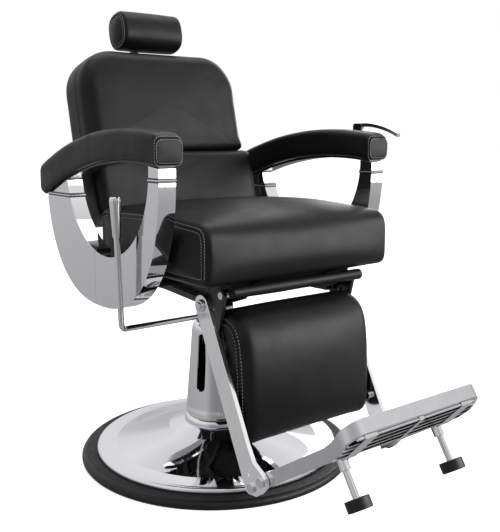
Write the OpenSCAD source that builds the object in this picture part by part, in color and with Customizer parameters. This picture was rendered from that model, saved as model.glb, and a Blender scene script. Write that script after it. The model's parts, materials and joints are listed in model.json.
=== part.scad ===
// Hydraulic barber chair: round base, lifting and turning pump column, reclining back with a
// coupled leg rest, folding footrest, sliding headrest. Millimetres, Z up, the chair faces -Y,
// the origin is the centre of the base on the floor.

/* [Base and column] */
// Radius of the rubber ring on the floor
base_r = 350; // [330:5:370]
// Height of the rubber ring
ring_h = 20; // [16:1:24]
// Height of the pump shroud's rounded top
shroud_top = 345; // [338:1:348]
// Radius of the pump shroud at its foot
shroud_r = 80; // [78:1:82]

/* [Seat] */
// Half of the seat cushion's width
seat_hw = 259; // [240:1:264]
// Front edge of the seat cushion, in front of the column
seat_front = 346; // [340:1:352]
// Height of the seat cushion's crown
seat_top = 655; // [652:1:664]
// Thickness of the side panels
panel_t = 41; // [34:1:44]
// Height of the armrests' highest point
arm_top = 832; // [826:1:840]

/* [Back and headrest] */
// Lean of the backrest in degrees
lean = 13; // [10:0.5:15]
// Half of the backrest's width
back_hw = 238; // [220:1:242]
// Length of the backrest above the crease
back_up = 272; // [250:1:276]
// Half of the headrest's width
head_hw = 90; // [80:1:110]

/* [Leg rest and footrest] */
// Half of the leg pad's width
leg_pad_hw = 184; // [170:1:184]
// Lift of the footrest arms in degrees
foot_lift = 33.5; // [28:0.5:36]
// Length of the footrest in front of its hinge
foot_len = 292; // [280:1:310]

/* [View] */
// Sub-part to show

/* [Hidden] */
$fn = 64;
run = 0.05;
gap = 0.3;

// base
plate_r = base_r - 38;
plate_h = 10;
lip_z = 32;
neck_r = 84;
neck_z = 72;
collar_top = 106;
cyl_r = 48;
bore_r = 34;
cyl_top = 300;
flange_r = 75;
flange_h = 10;

// shroud and piston
bearing_top = 112;
shroud_z = bearing_top + gap;
shroud_neck_r = 63;
shroud_neck_z = 318;
shroud_wall = 3.5;
slot_w = 32;
slot_z = 175;
slot_top = 323;
piston_r = bore_r - run;
piston_z = 40;
deck_z = 440;

// hand lever, in its own plane through the column's axis
lever_turn = 201.3;
lever_pin_r = 60;
lever_pin_z = 370;
lever_out = 368;
lever_rise = 33;
lever_lean = 2;
lever_bend = 16;
lever_tip_z = 690;
lever_rod_r = 6.5;

// seat frame
frame_z0 = 450;
frame_z1 = 494;
rail_x0 = 138;
rail_x1 = 162;
board_z = 508;
panel_x1 = 322;
panel_x0 = panel_x1 - panel_t;
cover_t = 2;
lug_t = 8;
roll_r = 13.5;
roll_y = -322;
roll_z = 494;

// leg rest fulcrum F, back pivot B and the push rods' offset from both
f_y = -290;
f_z = 484;
b_y = 185;
b_z = 512;
link_y = 57;
link_z = -30;
p_y = f_y + link_y;
p_z = f_z + link_z;
q_y = b_y + link_y;
q_z = b_z + link_z;
f_shaft_r = 8;
b_shaft_r = 9;
rod_x = 178;
pin_r = 6;

// leg bars
bar_x0 = 193;
bar_x1 = 203;
bar_w = 48;
bar_tilt = 27;
bar_len = 396;
hinge_down = 386;
hinge_fwd = 38;
stop_down = 393;
stop_fwd = 0;
h_y = p_y - hinge_down * sin(bar_tilt) - hinge_fwd * cos(bar_tilt);
h_z = p_z - hinge_down * cos(bar_tilt) + hinge_fwd * sin(bar_tilt);

// footrest
foot_x1 = bar_x0 - 1;
foot_arm_t = 8;
foot_leg_v = 182;
foot_leg_x = 137;

// recline lock
lock_x = 54;
lock_arm = 46;
lock_sweep = 25;
lock_z = 468.3;
lock_r = 12;
lock_bore = 8;
lock_rod_r = 5;

// back, in leaning coordinates from the crease
back_y = 185;
back_z = 775;
pad_t = 60;
back_t = 138;
lumbar_t = 24;
lumbar_down = 178;
arm_x0 = 118;
arm_x1 = 128;

// armrest
arm_x_in = 270;
arm_x_out = 327;
arm_front = -269;
arm_rear = 322;
arm_bend = 0.00051;
arm_apex_y = -110;
under_top = 765;
under_bend = 0.00053;
under_apex_y = -140;
arm_plate_t = 5;

// headrest
head_u = 340;
head_t = 65;
head_h = 96;
head_d = 94;
post_t = back_t + 2;
post_th = 6;
socket_u0 = 120;
socket_u1 = 200;

steps = 24;

// ---- shared shapes ----

module along_x(x0, x1, r, y, z) {
    translate([x0, y, z]) rotate([0, 90, 0]) cylinder(h = x1 - x0, r = r);
}

module side_plate(x0, x1, pts) {
    translate([x0, 0, 0]) rotate([90, 0, 90]) linear_extrude(x1 - x0) polygon(pts);
}

module both_sides() {
    children();
    mirror([1, 0, 0]) children();
}

module box(lo, hi) {
    translate(lo) cube(hi - lo);
}

module hex_head(r, h) {
    cylinder(h = h, r = r, $fn = 6);
}

// link plate between two round ends in the YZ plane
module link(x0, x1, a, ra, b, rb) {
    d = b - a;
    len = norm(d);
    n = [-d[1], d[0]] / len;
    along_x(x0, x1, ra, a[0], a[1]);
    along_x(x0, x1, rb, b[0], b[1]);
    side_plate(x0, x1, [a + n * ra, a - n * ra, b - n * rb, b + n * rb]);
}

module lever_plane() {
    rotate([0, 0, lever_turn]) children();
}

module leaning() {
    translate([0, back_y, back_z]) rotate([-lean, 0, 0]) children();
}

module bar_frame() {
    translate([0, p_y, p_z]) rotate([-bar_tilt, 0, 0]) children();
}

module foot_frame() {
    translate([0, h_y, h_z]) rotate([-foot_lift, 0, 0]) children();
}

module slab(t0, t1, pts) {
    translate([0, t1, 0]) rotate([90, 0, 0]) linear_extrude(t1 - t0) polygon(pts);
}

function arc(c, r, a0, a1, n) = [for (i = [0:n]) let (a = a0 + (a1 - a0) * i / n)
    c + r * [cos(a), sin(a)]];

// upright panel of half width w from h0 to h1, top corners rounded rt and bottom corners rb
function panel_pts(w, h0, h1, rt, rb) = concat(
    arc([-w + rb, h0 + rb], rb, 180, 270, 6), arc([w - rb, h0 + rb], rb, 270, 360, 6),
    arc([w - rt, h1 - rt], rt, 0, 90, 12), arc([-w + rt, h1 - rt], rt, 90, 180, 12));

// rectangle with rounded corners between two corner points
function soft_rect(lo, hi, r) = concat(
    arc(lo + [r, r], r, 180, 270, 6), arc([hi[0] - r, lo[1] + r], r, 270, 360, 6),
    arc(hi - [r, r], r, 0, 90, 6), arc([lo[0] + r, hi[1] - r], r, 90, 180, 6));

function arm_over(y) = arm_top - arm_bend * pow(y - arm_apex_y, 2);
function arm_under(y) = under_top - under_bend * pow(y - under_apex_y, 2);
function under_line(y0, y1, drop) = [for (i = [0:steps]) let (y = y0 + (y1 - y0) * i / steps)
    [y, arm_under(y) - drop]];

// ---- base ----

module base_rubber_ring() {
    rib = 1.2;
    color("#141414") difference() {
        rotate_extrude() polygon([[plate_r, 0], [base_r - 3, 0], [base_r, 4], [base_r - 1, 12],
            [base_r - 8, ring_h - 1], [base_r - 14, ring_h], [plate_r, ring_h]]);
        for (r = [plate_r + 4 : 5 : base_r - 18])
            translate([0, 0, ring_h - rib]) difference() {
                cylinder(h = 2 * rib, r = r + 1);
                translate([0, 0, -1]) cylinder(h = 4 * rib, r = r - 1);
            }
    }
}

module base_bottom_plate() {
    color("#3c3f43") cylinder(h = plate_h, r = plate_r);
}

module base_disc() {
    skin = 3;
    rise_from = plate_r - 12;
    n = 14;
    function cone(r, k) = lip_z + (neck_z - lip_z) * pow((rise_from - r) / (rise_from - k), 1.5);
    top = [for (i = [0:n]) let (r = rise_from - (rise_from - neck_r) * i / n)
        [r, cone(r, neck_r)]];
    low = [for (i = [n:-1:0]) let (r = rise_from - (rise_from - neck_r) * i / n)
        [r, cone(r, neck_r) - skin]];
    color("#e4e6e8") rotate_extrude() polygon(concat(
        [[plate_r, plate_h], [plate_r, lip_z - 6], [plate_r - 2, lip_z - 2], [plate_r - 6, lip_z]],
        top, low, [[plate_r - 6, lip_z - skin], [plate_r - skin, lip_z - 7],
        [plate_r - skin, plate_h]]));
}

module neck_collar() {
    color("#dfe2e5") rotate_extrude() polygon([[62, neck_z], [neck_r, neck_z], [neck_r + 1, 80],
        [neck_r + 1, 96], [neck_r - 3, collar_top], [62, collar_top]]);
}

module swivel_bearing() {
    color("#b58a3c") difference() {
        translate([0, 0, collar_top]) cylinder(h = bearing_top - collar_top, r = 76);
        cylinder(h = 2 * bearing_top, r = 62);
    }
}

module pump_cylinder() {
    color("#4a4d50") difference() {
        union() {
            translate([0, 0, plate_h]) cylinder(h = cyl_top - plate_h, r = cyl_r);
            translate([0, 0, plate_h]) cylinder(h = flange_h, r = flange_r);
            translate([0, 0, neck_z]) cylinder(h = collar_top - neck_z, r = 62);
        }
        translate([0, 0, plate_h + flange_h]) cylinder(h = cyl_top, r = bore_r);
    }
}

module pump_bolts() {
    color("#8d9196") for (a = [45:90:315]) rotate([0, 0, a])
        translate([62, 0, plate_h + flange_h]) hex_head(8, 6);
}

// ---- turning shroud ----

module pump_shroud() {
    crown_r = 51;
    crown_z = shroud_top - 5;
    color("#e2e4e7") difference() {
        rotate_extrude() polygon([[75, shroud_z], [shroud_r, shroud_z], [shroud_r, shroud_z + 6],
            [shroud_neck_r, shroud_neck_z], [shroud_neck_r - 4, crown_z - 8],
            [shroud_neck_r - 8, crown_z], [crown_r + 1, shroud_top], [crown_r - 2, shroud_top],
            [crown_r - 2, crown_z - 4], [shroud_neck_r - 8, crown_z - 12],
            [shroud_neck_r - shroud_wall, shroud_neck_z - 4],
            [shroud_r - shroud_wall - 2, shroud_z + 24], [75, shroud_z + 24]]);
        lever_plane() {
            box([30, -slot_w / 2, slot_z + slot_w / 2], [120, slot_w / 2,
                slot_top - slot_w / 2]);
            for (z = [slot_z + slot_w / 2, slot_top - slot_w / 2]) translate([30, 0, z])
                rotate([0, 90, 0]) cylinder(h = 90, r = slot_w / 2);
        }
    }
}

module shroud_bushing() {
    color("#e9e6da") difference() {
        translate([0, 0, shroud_z]) cylinder(h = 20, r = 75);
        cylinder(h = 400, r = cyl_r + run);
    }
}

// ---- lifting parts ----

module piston() {
    color("#d9dcdf") translate([0, 0, piston_z]) cylinder(h = deck_z - piston_z, r = piston_r);
}

module lever_head() {
    head_r = 45;
    ear = 11.5;
    ear_in = 7.5;
    color("#c9ccd0") difference() {
        union() {
            translate([0, 0, lever_pin_z - 18]) cylinder(h = 36, r = head_r);
            lever_plane() box([38, -ear, lever_pin_z - 13], [72, ear, lever_pin_z + 13]);
        }
        cylinder(h = 2 * lever_pin_z, r = piston_r);
        lever_plane() box([48, -ear_in, lever_pin_z - 30], [90, ear_in, lever_pin_z + 30]);
        lever_plane() translate([lever_pin_r, 0, lever_pin_z]) rotate([90, 0, 0])
            cylinder(h = 60, r = 4, center = true);
    }
}

module lever_pin() {
    color("#a9adb2") lever_plane() translate([lever_pin_r, 0, lever_pin_z]) rotate([90, 0, 0])
        cylinder(h = 26, r = 4, center = true);
}

// the straight lower part rises at lever_ang, the upright part leans outward by lever_lean
lever_ang = atan2(lever_rise, lever_out - lever_pin_r);
lever_cx = lever_out - lever_bend;
lever_cz = lever_pin_z + (lever_bend + sin(lever_ang) * (lever_cx - lever_pin_r))
    / cos(lever_ang);
upright_z = lever_cz - lever_bend * sin(lever_lean);
upright_len = (lever_tip_z - upright_z) / cos(lever_lean);

module lever_upright() {
    lever_plane() translate([lever_cx + lever_bend * cos(lever_lean), 0, upright_z])
        rotate([0, lever_lean, 0]) children();
}

module lever_rod() {
    eye = 10;
    straight = (lever_cx + lever_bend * sin(lever_ang) - lever_pin_r) / cos(lever_ang);
    color("#e6e8ea") difference() {
        union() {
            lever_plane() {
                translate([lever_pin_r, 0, lever_pin_z]) rotate([90, 0, 0])
                    cylinder(h = 14, r = eye, center = true);
                translate([lever_pin_r, 0, lever_pin_z]) rotate([0, 90 - lever_ang, 0])
                    cylinder(h = straight, r = lever_rod_r);
                translate([lever_cx, 0, lever_cz]) rotate([90, 0, 0])
                    rotate([0, 0, lever_ang - 92])
                    rotate_extrude(angle = 94 - lever_ang - lever_lean)
                    translate([lever_bend, 0]) circle(r = lever_rod_r + 0.1);
            }
            lever_upright() cylinder(h = upright_len - 20, r = lever_rod_r);
        }
        lever_plane() translate([lever_pin_r, 0, lever_pin_z]) rotate([90, 0, 0])
            cylinder(h = 40, r = 4 + run, center = true);
    }
}

module lever_grip() {
    z0 = upright_len - 86;
    color("#f0f1f2") lever_upright() difference() {
        rotate_extrude() polygon([[0, z0], [8.5, z0], [9, z0 + 12], [12, upright_len - 8],
            [11, upright_len - 2], [9, upright_len], [0, upright_len]]);
        translate([0, 0, z0 - 1]) cylinder(h = 67, r = lever_rod_r);
    }
}

module mounting_plate() {
    color("#2e3033") box([-110, -100, deck_z], [110, 100, frame_z0]);
}

module mounting_bolts() {
    color("#9ba0a5") for (x = [-92, 92], y = [-82, 82])
        translate([x, y, frame_z0 + 6]) hex_head(9, 7);
}

module seat_frame() {
    color("#222325") {
        difference() {
            union() {
                both_sides() box([rail_x0, -262, frame_z0], [rail_x1, 162, frame_z1]);
                for (y = [-82, 82]) box([-rail_x0, y - 22, frame_z0], [rail_x0, y + 22,
                    frame_z0 + 6]);
            }
            both_sides() box([rail_x0 + 3, -263, frame_z0 + 3], [rail_x1 - 3, 163,
                frame_z1 - 3]);
        }
        both_sides() box([rail_x1, -130, frame_z1 - 10], [panel_x0 - 4, -100, frame_z1]);
        both_sides() box([rail_x1, 20, frame_z1 - 10], [panel_x0 - 4, 50, frame_z1]);
        both_sides() box([panel_x0 - 4, -135, frame_z1 - 20], [panel_x0, 55, frame_z1 + 20]);
    }
}

module frame_brackets() {
    color("#222325") {
        both_sides() difference() {
            union() {
                link(rail_x0 - lug_t, rail_x0, [f_y, f_z], 15, [-240, 472], 20);
                side_plate(rail_x0 - lug_t, rail_x0, [[-240, 452], [-200, 452], [-200, 492],
                    [-240, 492]]);
            }
            along_x(rail_x0 - 20, rail_x0 + 5, f_shaft_r + run, f_y, f_z);
            box([rail_x0 - 20, -320, frame_z1], [rail_x0 + 5, -190, frame_z1 + 30]);
        }
        both_sides() difference() {
            union() {
                link(rail_x0 - lug_t, rail_x0, [b_y, b_z], 17, [150, 474], 20);
                side_plate(rail_x0 - lug_t, rail_x0, [[105, 454], [150, 454], [150, 494],
                    [105, 494]]);
            }
            along_x(rail_x0 - 20, rail_x0 + 5, b_shaft_r + run, b_y, b_z);
        }
        both_sides() difference() {
            box([90, -315, 486], [120, -300, 506]);
            along_x(80, 130, roll_r, roll_y, roll_z);
        }
    }
}

module seat_board() {
    color("#2b2825") box([-172, -300, frame_z1], [172, 105, board_z]);
}

module seat_cushion() {
    rear = 118;
    side_z = 640;
    color("#1a1a1b") side_plate(-seat_hw, seat_hw, concat(
        arc([-seat_front + 20, board_z + 20], 20, 180, 270, 5),
        arc([rear - 12, board_z + 12], 12, 270, 360, 4),
        arc([rear - 30, side_z - 20], 30, 0, 80, 5),
        [for (i = [1:9]) let (y = rear - 60 - (rear + seat_front - 110) * i / 10)
            [y, side_z + 8 + (seat_top - side_z - 8) * sin(18 * i)]],
        arc([-seat_front + 36, side_z - 28], 36, 100, 180, 6)));
}

module kick_roll() {
    color("#1a1a1b") along_x(-188, 188, roll_r, roll_y, roll_z);
}

// ---- side panels and armrests ----

module panel_profile(x0, x1, inset) {
    half = 275 - inset;
    deep = 323 - inset;
    n = 2.4;
    cy = 10;
    top = 750;
    cut_y = -30;
    cut_a = 196 + inset;
    cut_b = 203 + inset;
    outer = [for (i = [0:32]) let (a = 180 + 180 * i / 32)
        [cy + half * sign(cos(a)) * pow(abs(cos(a)), 2 / n), top - deep * pow(abs(sin(a)), 2 / n)]];
    cut = [for (i = [0:32]) let (a = 180 + 180 * i / 32) [cut_y + cut_a * cos(a),
        top + cut_b * sin(a)]];
    difference() {
        intersection() {
            side_plate(x0, x1, concat(outer, [[cy + half, top + 40], [cy - half, top + 40]]));
            side_plate(x0 - 1, x1 + 1, concat(under_line(-300, 320, arm_plate_t + gap + inset),
                [[320, 380], [-300, 380]]));
        }
        side_plate(x0 - 1, x1 + 1, concat(cut, [[cut_y + cut_a, top + 60],
            [cut_y - cut_a, top + 60]]));
    }
}

module side_panel() {
    rim = 4;
    color("#d5d8db") difference() {
        panel_profile(panel_x0 + cover_t, panel_x1, 0);
        panel_profile(panel_x0 + cover_t - 1, panel_x1 - 3, rim);
    }
}

module side_panel_left() {
    side_panel();
}

module side_panel_right() {
    mirror([1, 0, 0]) side_panel();
}

module panel_covers() {
    color("#c3c6ca") both_sides() panel_profile(panel_x0, panel_x0 + cover_t, 0);
}

module armrest_plates() {
    x0 = panel_x0 - 3;
    x1 = panel_x1 - 4;
    color("#222325") both_sides() side_plate(x0, x1, concat(under_line(-260, 285, gap),
        [for (i = [steps:-1:0]) let (y = -260 + 545 * i / steps) [y, arm_under(y)
            - arm_plate_t]]));
}

module armrest() {
    r = 14;
    end_y = arm_rear;
    color("#19191a") side_plate(arm_x_in, arm_x_out, concat(
        [[arm_front + 4, arm_under(arm_front)]], under_line(arm_front + 10, end_y - 34, 0),
        [[end_y - 12, arm_under(end_y) + 24], [end_y, arm_under(end_y) + 44],
        [end_y - 4, arm_over(end_y) - 14], [end_y - 14, arm_over(end_y - 14) - 2]],
        [for (i = [0:steps]) let (y = end_y - 24 + (arm_front + r - end_y + 24) * i / steps)
            [y, arm_over(y)]],
        [[arm_front + 4, arm_over(arm_front) - 4], [arm_front, arm_over(arm_front) - 12],
        [arm_front, arm_under(arm_front) + 6]]));
}

module armrest_left() {
    armrest();
}

module armrest_right() {
    mirror([1, 0, 0]) armrest();
}

// ---- recline release lever on the left armrest ----
release_y = -168;
release_z = 838;

module release_bracket() {
    color("#2a2b2d") {
        side_plate(arm_x_out, arm_x_out + 5, soft_rect([release_y - 14, 792],
            [release_y + 16, 846], 6));
        along_x(arm_x_out + 5, arm_x_out + 20, 3, release_y, release_z);
    }
}

module release_lever() {
    x0 = arm_x_out + 6;
    x1 = arm_x_out + 18;
    tip = 128;
    n = 12;
    function rise(d) = release_z + 4 + 0.075 * d - 0.0021 * d * d;
    color("#e6e8ea") difference() {
        union() {
            along_x(x0, x1, 7, release_y, release_z);
            side_plate(x0, x1, concat([for (i = [0:n]) let (d = tip * i / n)
                [release_y - d, rise(d) + 4]],
                [for (i = [n:-1:0]) let (d = tip * i / n) [release_y - d, rise(d) - 5]]));
        }
        along_x(x0 - 1, x1 + 1, 3 + run, release_y, release_z);
    }
}

// ---- recline lock under the seat ----
lock_mouth = 100;

module lock_cylinder() {
    color("#303236") difference() {
        translate([lock_x, -95, lock_z]) rotate([-90, 0, 0]) cylinder(h = lock_mouth + 95,
            r = lock_r);
        translate([lock_x, -85, lock_z]) rotate([-90, 0, 0]) cylinder(h = 200, r = lock_bore);
    }
}

module lock_clamps() {
    z0 = frame_z0 + 6;
    color("#2b2d30") difference() {
        for (y = [-82, 82]) box([lock_x - 18, y - 8, z0], [lock_x + 18, y + 8, lock_z + 15]);
        translate([lock_x, -100, lock_z]) rotate([-90, 0, 0]) cylinder(h = 210, r = lock_r);
    }
}

module lock_rod() {
    tip_y = b_y + lock_arm * sin(lock_sweep);
    color("#d4d7da") difference() {
        union() {
            translate([lock_x, 40, lock_z]) rotate([-90, 0, 0])
                cylinder(h = tip_y - 52.5, r = lock_rod_r);
            translate([lock_x, 30, lock_z]) rotate([-90, 0, 0])
                cylinder(h = 16, r = lock_bore - run);
            translate([lock_x, 84, lock_z]) rotate([-90, 0, 0]) cylinder(h = 0.01 + 8,
                r = lock_rod_r);
            box([lock_x - 6, tip_y - 14, lock_z - 11], [lock_x + 2.5, tip_y + 12, lock_z + 11]);
        }
        box([lock_x - 8, tip_y - 4.7, lock_z - 7], [lock_x + 8, tip_y + 4.7, lock_z + 7]);
    }
}

// ---- reclining back ----

module back_shaft() {
    color("#8f9398") {
        along_x(-rail_x1 - 9, rail_x1 + 9, b_shaft_r, b_y, b_z);
        both_sides() along_x(rail_x1 + 1, rod_x + 8, pin_r, q_y, q_z);
        along_x(lock_x - 7, lock_x + 12, 4, b_y + lock_arm * sin(lock_sweep),
            b_z - lock_arm * cos(lock_sweep));
    }
}

module back_cranks() {
    color("#222325") difference() {
        union() {
            both_sides() link(rail_x1 + 1, rail_x1 + 9, [b_y, b_z], 16, [q_y, q_z], 11);
            link(lock_x + 3, lock_x + 11, [b_y, b_z], 16,
                [b_y + lock_arm * sin(lock_sweep), b_z - lock_arm * cos(lock_sweep)], 9);
        }
        along_x(-200, 200, b_shaft_r, b_y, b_z);
        both_sides() along_x(150, 190, pin_r, q_y, q_z);
        along_x(0, 90, 4, b_y + lock_arm * sin(lock_sweep), b_z - lock_arm * cos(lock_sweep));
    }
}

board_u = -118;
frame_t0 = 74;
frame_t1 = 86;
foot_u = -180;

module back_frame() {
    d = [b_y - back_y, b_z - back_z];
    pivot_t = d[0] * cos(lean) - d[1] * sin(lean);
    pivot_u = d[0] * sin(lean) + d[1] * cos(lean);
    color("#222325") difference() {
        leaning() {
            both_sides() {
                along_x(arm_x0, arm_x1, 17, pivot_t, pivot_u);
                side_plate(arm_x0, arm_x1, [[pivot_t - 17, pivot_u], [pivot_t + 17, pivot_u],
                    [frame_t1 + 10, foot_u + 40], [frame_t1, foot_u + 80], [frame_t1, 170],
                    [frame_t0, 170], [frame_t0, foot_u + 60], [frame_t0 - 12, foot_u]]);
            }
            for (u = [-60, 60, 158]) box([-arm_x0, frame_t0, u - 12], [arm_x0, frame_t1,
                u + 12]);
        }
        along_x(-200, 200, b_shaft_r, b_y, b_z);
    }
}

module back_board() {
    color("#2b2825") leaning() slab(pad_t, frame_t0, panel_pts(back_hw - 26, board_u,
        back_up - 26, 78, 20));
}

module back_cushion() {
    color("#1a1a1b") leaning() difference() {
        slab(0, pad_t, panel_pts(back_hw, 1, back_up, 100, 10));
    }
}

module lumbar_cushion() {
    color("#1a1a1b") leaning() side_plate(-back_hw - 12, back_hw + 12, concat(
        arc([-lumbar_t + 16, -16.3], 16, 180, 90, 5), [[pad_t, -0.3], [pad_t, -lumbar_down]],
        arc([-lumbar_t + 44, -lumbar_down + 26], 26, 270, 190, 5)));
}

module back_rear_pad() {
    color("#1a1a1b") leaning() difference() {
        slab(pad_t, back_t, panel_pts(back_hw, -lumbar_down, back_up, 100, 24));
        slab(pad_t - 1, frame_t0, panel_pts(back_hw - 26, board_u, back_up - 26, 78, 20));
        both_sides() box([arm_x0 - 2, pad_t - 1, -lumbar_down - 5], [arm_x1 + 2, frame_t1
            + 12, 172]);
        for (u = [-60, 60, 158]) box([-arm_x0, frame_t0 - 1, u - 13], [arm_x0, frame_t1 + 1,
            u + 13]);
        box([-arm_x1 - 2, pad_t - 1, -lumbar_down - 5], [arm_x1 + 2, frame_t0 + 26,
            -lumbar_down + 18]);
    }
}

// ---- headrest ----

module headrest_socket() {
    color("#1d1e20") leaning() difference() {
        box([-24, back_t, socket_u0], [24, back_t + 20, socket_u1]);
        box([-13.4, back_t + 1.6, socket_u0 - 5], [13.4, back_t + 8.4, socket_u1 + 5]);
    }
}

module headrest_knob() {
    color("#17181a") leaning() translate([0, back_t + 20, (socket_u0 + socket_u1) / 2])
        rotate([-90, 0, 0]) {
            cylinder(h = 8, r = 8);
            translate([0, 0, 8]) cylinder(h = 16, r = 17);
        }
}

module headrest_post() {
    color("#e0e3e6") leaning() difference() {
        union() {
            box([-13, post_t, socket_u0 - 20], [13, post_t + post_th, head_u - 14]);
            side_plate(-13, 13, [[post_t, head_u - 30], [post_t + post_th, head_u - 30],
                [post_t + post_th, head_u + 4], [post_t - 6, head_u + 9], [post_t - 14,
                head_u + 6], [post_t - 14, head_u - 8]]);
            along_x(-13, 13, 9, post_t - 12, head_u);
        }
        along_x(-30, 30, 4, post_t - 12, head_u);
    }
}

module headrest_pin() {
    color("#cfd2d5") leaning() along_x(-30, 30, 4, post_t - 12, head_u);
}

module headrest_bracket() {
    color("#e0e3e6") leaning() difference() {
        union() {
            both_sides() along_x(14, 22, 9, post_t - 12, head_u);
            both_sides() box([14, head_t + head_d / 2 + 3, head_u - 9], [22, post_t - 12,
                head_u + 9]);
            box([-34, head_t + head_d / 2, head_u - 24], [34, head_t + head_d / 2 + 3.5,
                head_u + 24]);
        }
        along_x(-40, 40, 4 + run, post_t - 12, head_u);
    }
}

module headrest_pad() {
    color("#1a1a1b") leaning() side_plate(-head_hw, head_hw, soft_rect([head_t - head_d / 2,
        head_u - head_h / 2], [head_t + head_d / 2, head_u + head_h / 2], 30));
}

// ---- leg rest ----

module push_rod(x) {
    w = 5;
    color("#3a3d41") difference() {
        union() {
            link(x - 3, x + 3, [p_y, p_z], 7, [q_y, q_z], 7);
            along_x(x - w, x + w, 12, p_y, p_z);
            along_x(x - w, x + w, 12, q_y, q_z);
        }
        along_x(x - 20, x + 20, pin_r + gap, p_y, p_z);
        along_x(x - 20, x + 20, pin_r + run, q_y, q_z);
    }
}

module push_rod_left() {
    push_rod(rod_x);
}

module push_rod_right() {
    push_rod(-rod_x);
}

module legrest_shaft() {
    color("#8f9398") along_x(-bar_x0, bar_x0, f_shaft_r, f_y, f_z);
}

module legrest_brackets() {
    color("#1d1e20") both_sides() difference() {
        union() {
            link(bar_x0 - 8, bar_x0, [f_y, f_z], 14, [p_y, p_z], 16);
            link(bar_x0 - 8, bar_x0, [p_y, p_z], 16, [p_y - 34, p_z - 62], 14);
            link(bar_x0 - 8, bar_x0, [f_y, f_z], 14, [p_y - 34, p_z - 62], 14);
        }
        along_x(0, 250, f_shaft_r, f_y, f_z);
        along_x(0, 250, pin_r, p_y, p_z);
    }
}

module leg_bar() {
    bolt_z = -366;
    color("#d3d6d9") difference() {
        bar_frame() {
            along_x(bar_x0, bar_x1, bar_w / 2, 0, 0);
            side_plate(bar_x0, bar_x1, [[-bar_w / 2, 0], [bar_w / 2, 0],
                [bar_w / 2, -bar_len], [bar_w / 2 - 8, -bar_len - 8],
                [-8, -bar_len - 16], [-22, -bar_len - 14], [-hinge_fwd - 6, -hinge_down - 15],
                [-hinge_fwd - 15, -hinge_down - 6], [-hinge_fwd - 15, -hinge_down + 4],
                [-hinge_fwd - 8, -hinge_down + 15], [-bar_w / 2 - 4, -bar_len + 50],
                [-bar_w / 2, -bar_len + 90]]);
        }
        along_x(0, 250, pin_r, p_y, p_z);
        bar_frame() along_x(0, 250, 5, 0, bolt_z);
        bar_frame() along_x(0, 250, 6, -stop_fwd, -stop_down);
        along_x(0, 250, 7, h_y, h_z);
    }
}

module leg_bar_left() {
    leg_bar();
}

module leg_bar_right() {
    mirror([1, 0, 0]) leg_bar();
}

spacer_z = 205;
cross_z = 352;
function bar_axis_y(z) = p_y - (p_z - z) * tan(bar_tilt);

module legrest_cross_tube() {
    y = bar_axis_y(cross_z);
    color("#2a2c2f") {
        along_x(-bar_x0, bar_x0, 10, y, cross_z);
        both_sides() side_plate(90, 110, [[y - 4, cross_z - 7], [y - 4, cross_z + 7],
            [-310, 366], [-314, 340]]);
    }
}

module leg_pad_board() {
    color("#2b2825") difference() {
        side_plate(-leg_pad_hw + 14, leg_pad_hw - 14, [[-308.3, 420], [-301, 425],
            [-345, 180], [-352, 182]]);
        both_sides() side_plate(89, 111, [[-290, 370], [-310, 366.4], [-314.6, 339.6],
            [-290, 334]]);
        along_x(-bar_x0, bar_x0, 10.5, bar_axis_y(cross_z), cross_z);
    }
}

module legrest_bolts() {
    color("#dcdfe2") both_sides() {
        along_x(rod_x - 8, bar_x1, pin_r, p_y, p_z);
        along_x(bar_x1, bar_x1 + 5, 14, p_y, p_z);
        along_x(bar_x1 + 5, bar_x1 + 8, 8, p_y, p_z);
        along_x(leg_pad_hw, bar_x0, 9, bar_axis_y(spacer_z), spacer_z);
        bar_frame() along_x(bar_x1, bar_x1 + 5, 11, -stop_fwd, -stop_down);
        bar_frame() along_x(bar_x0 - 11, bar_x1, 6, -stop_fwd, -stop_down);
    }
}

module leg_pad() {
    color("#1a1a1b") difference() {
        side_plate(-leg_pad_hw, leg_pad_hw, [[-346, 170], [-380, 170], [-387, 182],
            [-389, 220], [-388, 330], [-384, 400], [-376, 430], [-362, 447], [-342, 454],
            [-322, 449], [-308, 438], [-304, 425]]);
        side_plate(-leg_pad_hw + 14, leg_pad_hw - 14, [[-308.3, 420], [-250, 465],
            [-300, 166], [-352, 182]]);
    }
}

// ---- folding footrest ----

// closed band seen from the side: flat arms, a rising bend, then the raised front
function foot_band(lo, hi) = concat(
    [for (p = [[12, 0], [-150, 0], [-210, 0], [-240, 5], [-268, 17], [-292, 24]])
        [p[0], p[1] + hi]], [[-foot_len - 40, 24 + hi], [-foot_len - 40, 24 + lo]],
    [for (p = [[-292, 24], [-268, 17], [-240, 5], [-210, 0], [-150, 0], [12, 0]])
        [p[0], p[1] + lo]]);

// outline of the footrest seen along its legs
function foot_plan(w, front, r) = concat([[w, 30], [-w, 30]],
    arc([-w + r, -front + r], r, 180, 270, 8), arc([w - r, -front + r], r, 270, 360, 8));

module foot_ring(in0, in1, z0, z1) {
    translate([0, 0, z0]) difference() {
        linear_extrude(z1 - z0) polygon(foot_plan(foot_x1 - in0, foot_len - in0, 40 - in0));
        translate([0, 0, -1]) linear_extrude(z1 - z0 + 2)
            polygon(concat([[foot_x1 - in1, 60], [-foot_x1 + in1, 60]],
                arc([-foot_x1 + 40, -foot_len + 40], 40 - in1, 180, 270, 8),
                arc([foot_x1 - 40, -foot_len + 40], 40 - in1, 270, 360, 8)));
    }
}

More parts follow.
